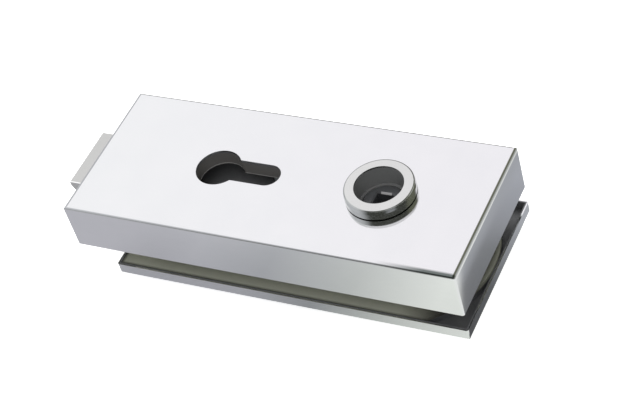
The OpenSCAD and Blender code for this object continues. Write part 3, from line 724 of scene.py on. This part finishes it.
def screw_blank(name, head_r, head_h, shank_r, length, key_r, key_depth, pitch):
    """Closed blank along +Z in mm, its head's face at zero, with close rings for the thread."""
    rings = [(key_r, key_depth, True), (key_r, SOCKET_EDGE, True), (key_r + SOCKET_EDGE, 0, True),
             (head_r - HEAD_EDGE, 0, False), (head_r, HEAD_EDGE, False), (shank_r, head_h, False)]
    threaded = length - TIP_EDGE - head_h
    count = round(threaded / pitch * RINGS_PER_PITCH)
    rings += [(shank_r, head_h + threaded * i / count, False) for i in range(1, count + 1)]
    rings += [(shank_r - TIP_EDGE, length, False)]
    verts = [(0, 0, key_depth * MM)]
    for radius, height, pressed in rings:
        for k in range(SIDES):
            angle = 2 * math.pi * k / SIDES
            reach = radius * MM
            if pressed:
                reach *= math.cos(SIXTH / 2) / math.cos(angle % SIXTH - SIXTH / 2)
            verts.append((reach * math.cos(angle), reach * math.sin(angle), height * MM))
    verts.append((0, 0, length * MM))
    faces = []
    for k in range(SIDES):
        after = (k + 1) % SIDES
        faces.append((0, 1 + after, 1 + k))
        for row in range(len(rings) - 1):
            low, high = 1 + row * SIDES, 1 + (row + 1) * SIDES
            faces.append((low + k, low + after, high + after, high + k))
        tip = 1 + (len(rings) - 1) * SIDES
        faces.append((tip + k, tip + after, len(verts) - 1))
    blank = bpy.data.meshes.new(name)
    blank.from_pydata(verts, [], faces)
    shell = bmesh.new()
    shell.from_mesh(blank)
    bmesh.ops.recalc_face_normals(shell, faces=shell.faces)
    shell.to_mesh(blank)
    shell.free()
    return blank


# Head radius and height, shank radius, length, socket radius and depth, pitch, all in mm.
clamp_blank = screw_blank("clamp_blank", 4.6, 2.1, 2.5, 18.7, 1.5, 1.26, 0.8)
lid_blank = screw_blank("lid_blank", 2.8, 1.5, 1.5, 9, 1, 0.9, 0.5)
set_blank = screw_blank("set_blank", 2.5, 0.5, 2.5, 23.2, 1.45, 2.5, 0.8)
print("blank points:", [len(b.vertices) for b in (clamp_blank, lid_blank, set_blank)])

# %% [markdown]
# A thread is a groove where the height along the screw and the angle round it agree. The tree pulls
# the blank's points inward there, deepest halfway between two crests, lets the groove begin over
# one pitch and stops it before the tip. Then it sets the screw on a grid of places.

# %% Tree: where the groove is and how deep
CREST_EDGE, GROOVE_FLOOR = 0.9, 0.1  # of the way from the groove's middle to the next crest
cutter, known = new_tree(
    "cut_thread_and_set", size=["Pitch", "Depth", "From", "To", "Spread X", "Spread Y"],
    count=["Columns", "Rows"], place=["Centre", "Turn"])
here = add(cutter, "GeometryNodeInputPosition")
known["x"], known["y"], known["height"] = add(cutter, SPLIT, {0: here}).outputs
work_out(cutter, known, (
    ("angle", "ARCTAN2", "y", "x"), ("part of turn", "DIVIDE", "angle", 2 * math.pi),
    ("pitches", "DIVIDE", "height", "Pitch"),
    ("unwound", "SUBTRACT", "pitches", "part of turn"), ("phase", "FRACT", "unwound"),
    ("centred", "MULTIPLY_ADD", "phase", 2, -1), ("off groove", "ABSOLUTE", "centred"),
    ("full from", "ADD", "From", "Pitch"), ("until", "LESS_THAN", "height", "To")))
known["groove"] = add(cutter, MAP, {"Value": known["off groove"], "From Min": CREST_EDGE,
                                    "From Max": GROOVE_FLOOR})
known["begin"] = add(cutter, MAP, {"Value": known["height"], "From Min": known["From"],
                                   "From Max": known["full from"]})
work_out(cutter, known, (
    ("share", "MULTIPLY", "groove", "begin"), ("most", "MULTIPLY", "until", "Depth"),
    ("cut", "MULTIPLY", "share", "most"), ("inward", "MULTIPLY", "cut", -1)))
print("known in the thread tree:", len(known))

# %% [markdown]
# Pulling a point toward the screw's axis needs a direction, which is its place seen along the axis.
# After that the threaded screw is an instance like any other, turned and set on a grid.

# %% Tree: cut the thread and set the screws
flat = add(cutter, "ShaderNodeCombineXYZ", {0: known["x"], 1: known["y"]})
outward = add(cutter, VECTOR, {0: flat}, operation="NORMALIZE")
offset = add(cutter, VECTOR, {0: outward, "Scale": known["inward"]}, operation="SCALE")
threaded = add(cutter, "GeometryNodeSetPosition", {"Geometry": known["Geometry"],
                                                   "Offset": offset})
grid = add(cutter, "GeometryNodeMeshGrid", {
    "Size X": known["Spread X"], "Size Y": known["Spread Y"],
    "Vertices X": known["Columns"], "Vertices Y": known["Rows"]})
places = add(cutter, "GeometryNodeTransform", {"Geometry": grid, "Translation": known["Centre"]})
turned = add(cutter, "FunctionNodeEulerToRotation", {0: known["Turn"]})
finish_tree(cutter, known, add(cutter, "GeometryNodeInstanceOnPoints", {
    "Points": places, "Instance": threaded, "Rotation": turned}))

# %% [markdown]
# The lock has three kinds of screw: four through the glass, four in the lid and one that holds the
# cylinder. Only sizes, places and turns differ, so one function grows them all.

# %% Screws


def screws(name, blank, pitch, depth, between, spread, count, centre, turn):
    """Cuts the blank's thread between two heights and sets it on a grid; sizes in mm."""
    return grow(name, blank, cutter, {
        "Pitch": pitch * MM, "Depth": depth * MM, "From": between[0] * MM, "To": between[1] * MM,
        "Spread X": spread[0] * MM, "Spread Y": spread[1] * MM, "Columns": count[0],
        "Rows": count[1], "Centre": tuple(c * MM for c in centre), "Turn": turn,
        "Finish": zinc_plate})


# Each row: pitch and depth, the heights where the thread begins and ends, spread of the grid on X
# and Y, its columns and rows, its middle, and how each screw is turned.
clamp_screws = screws("threaded_clamp_screws", clamp_blank, 0.8, 0.46, (2.6, 18.15),
                      (114, 38), (2, 2), (-36, 0, -7.8), (0.0, 0.0, 0.0))
lid_screws = screws("threaded_lid_screws", lid_blank, 0.5, 0.29, (1.9, 8.45),
                    (143, 48.4), (2, 2), (-38, 0, 22.2), (math.pi, 0.0, 0.0))
cylinder_screw = screws("threaded_cylinder_screw", set_blank, 0.8, 0.46, (0.5, 22.65),
                        (0, 0), (1, 1), (-45, 29.2, 14.1), (math.pi / 2, 0.0, 0.0))

# %% [markdown]
# The four new pieces stand for four solids, which stay in the frame for collisions and are hidden.
# All of them ride on the case.

# %% Hide the solids and put the new pieces on the case
for piece, node_name, record_slot in ((latch_springs, "latch_springs", "spring_steel"),
                                      (clamp_screws, "clamp_screws", "zinc_plated_steel"),
                                      (lid_screws, "lid_screws", "zinc_plated_steel"),
                                      (cylinder_screw, "cylinder_screw", "zinc_plated_steel")):
    low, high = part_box(node_name)
    corners = [piece.matrix_world @ Vector(c) for c in piece.bound_box]
    print(node_name, "cad", [round(v / MM, 2) for v in (*low, *high)], "piece",
          [round(min(c[i] for c in corners) / MM, 2) for i in range(3)],
          [round(max(c[i] for c in corners) / MM, 2) for i in range(3)])
    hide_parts(node_name)
    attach(piece, "case")
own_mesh(latch_springs)

# %% [markdown]
# The lesson ends by setting the view transform to Standard.

# %% Close
bpy.context.scene.view_settings.view_transform = "Standard"
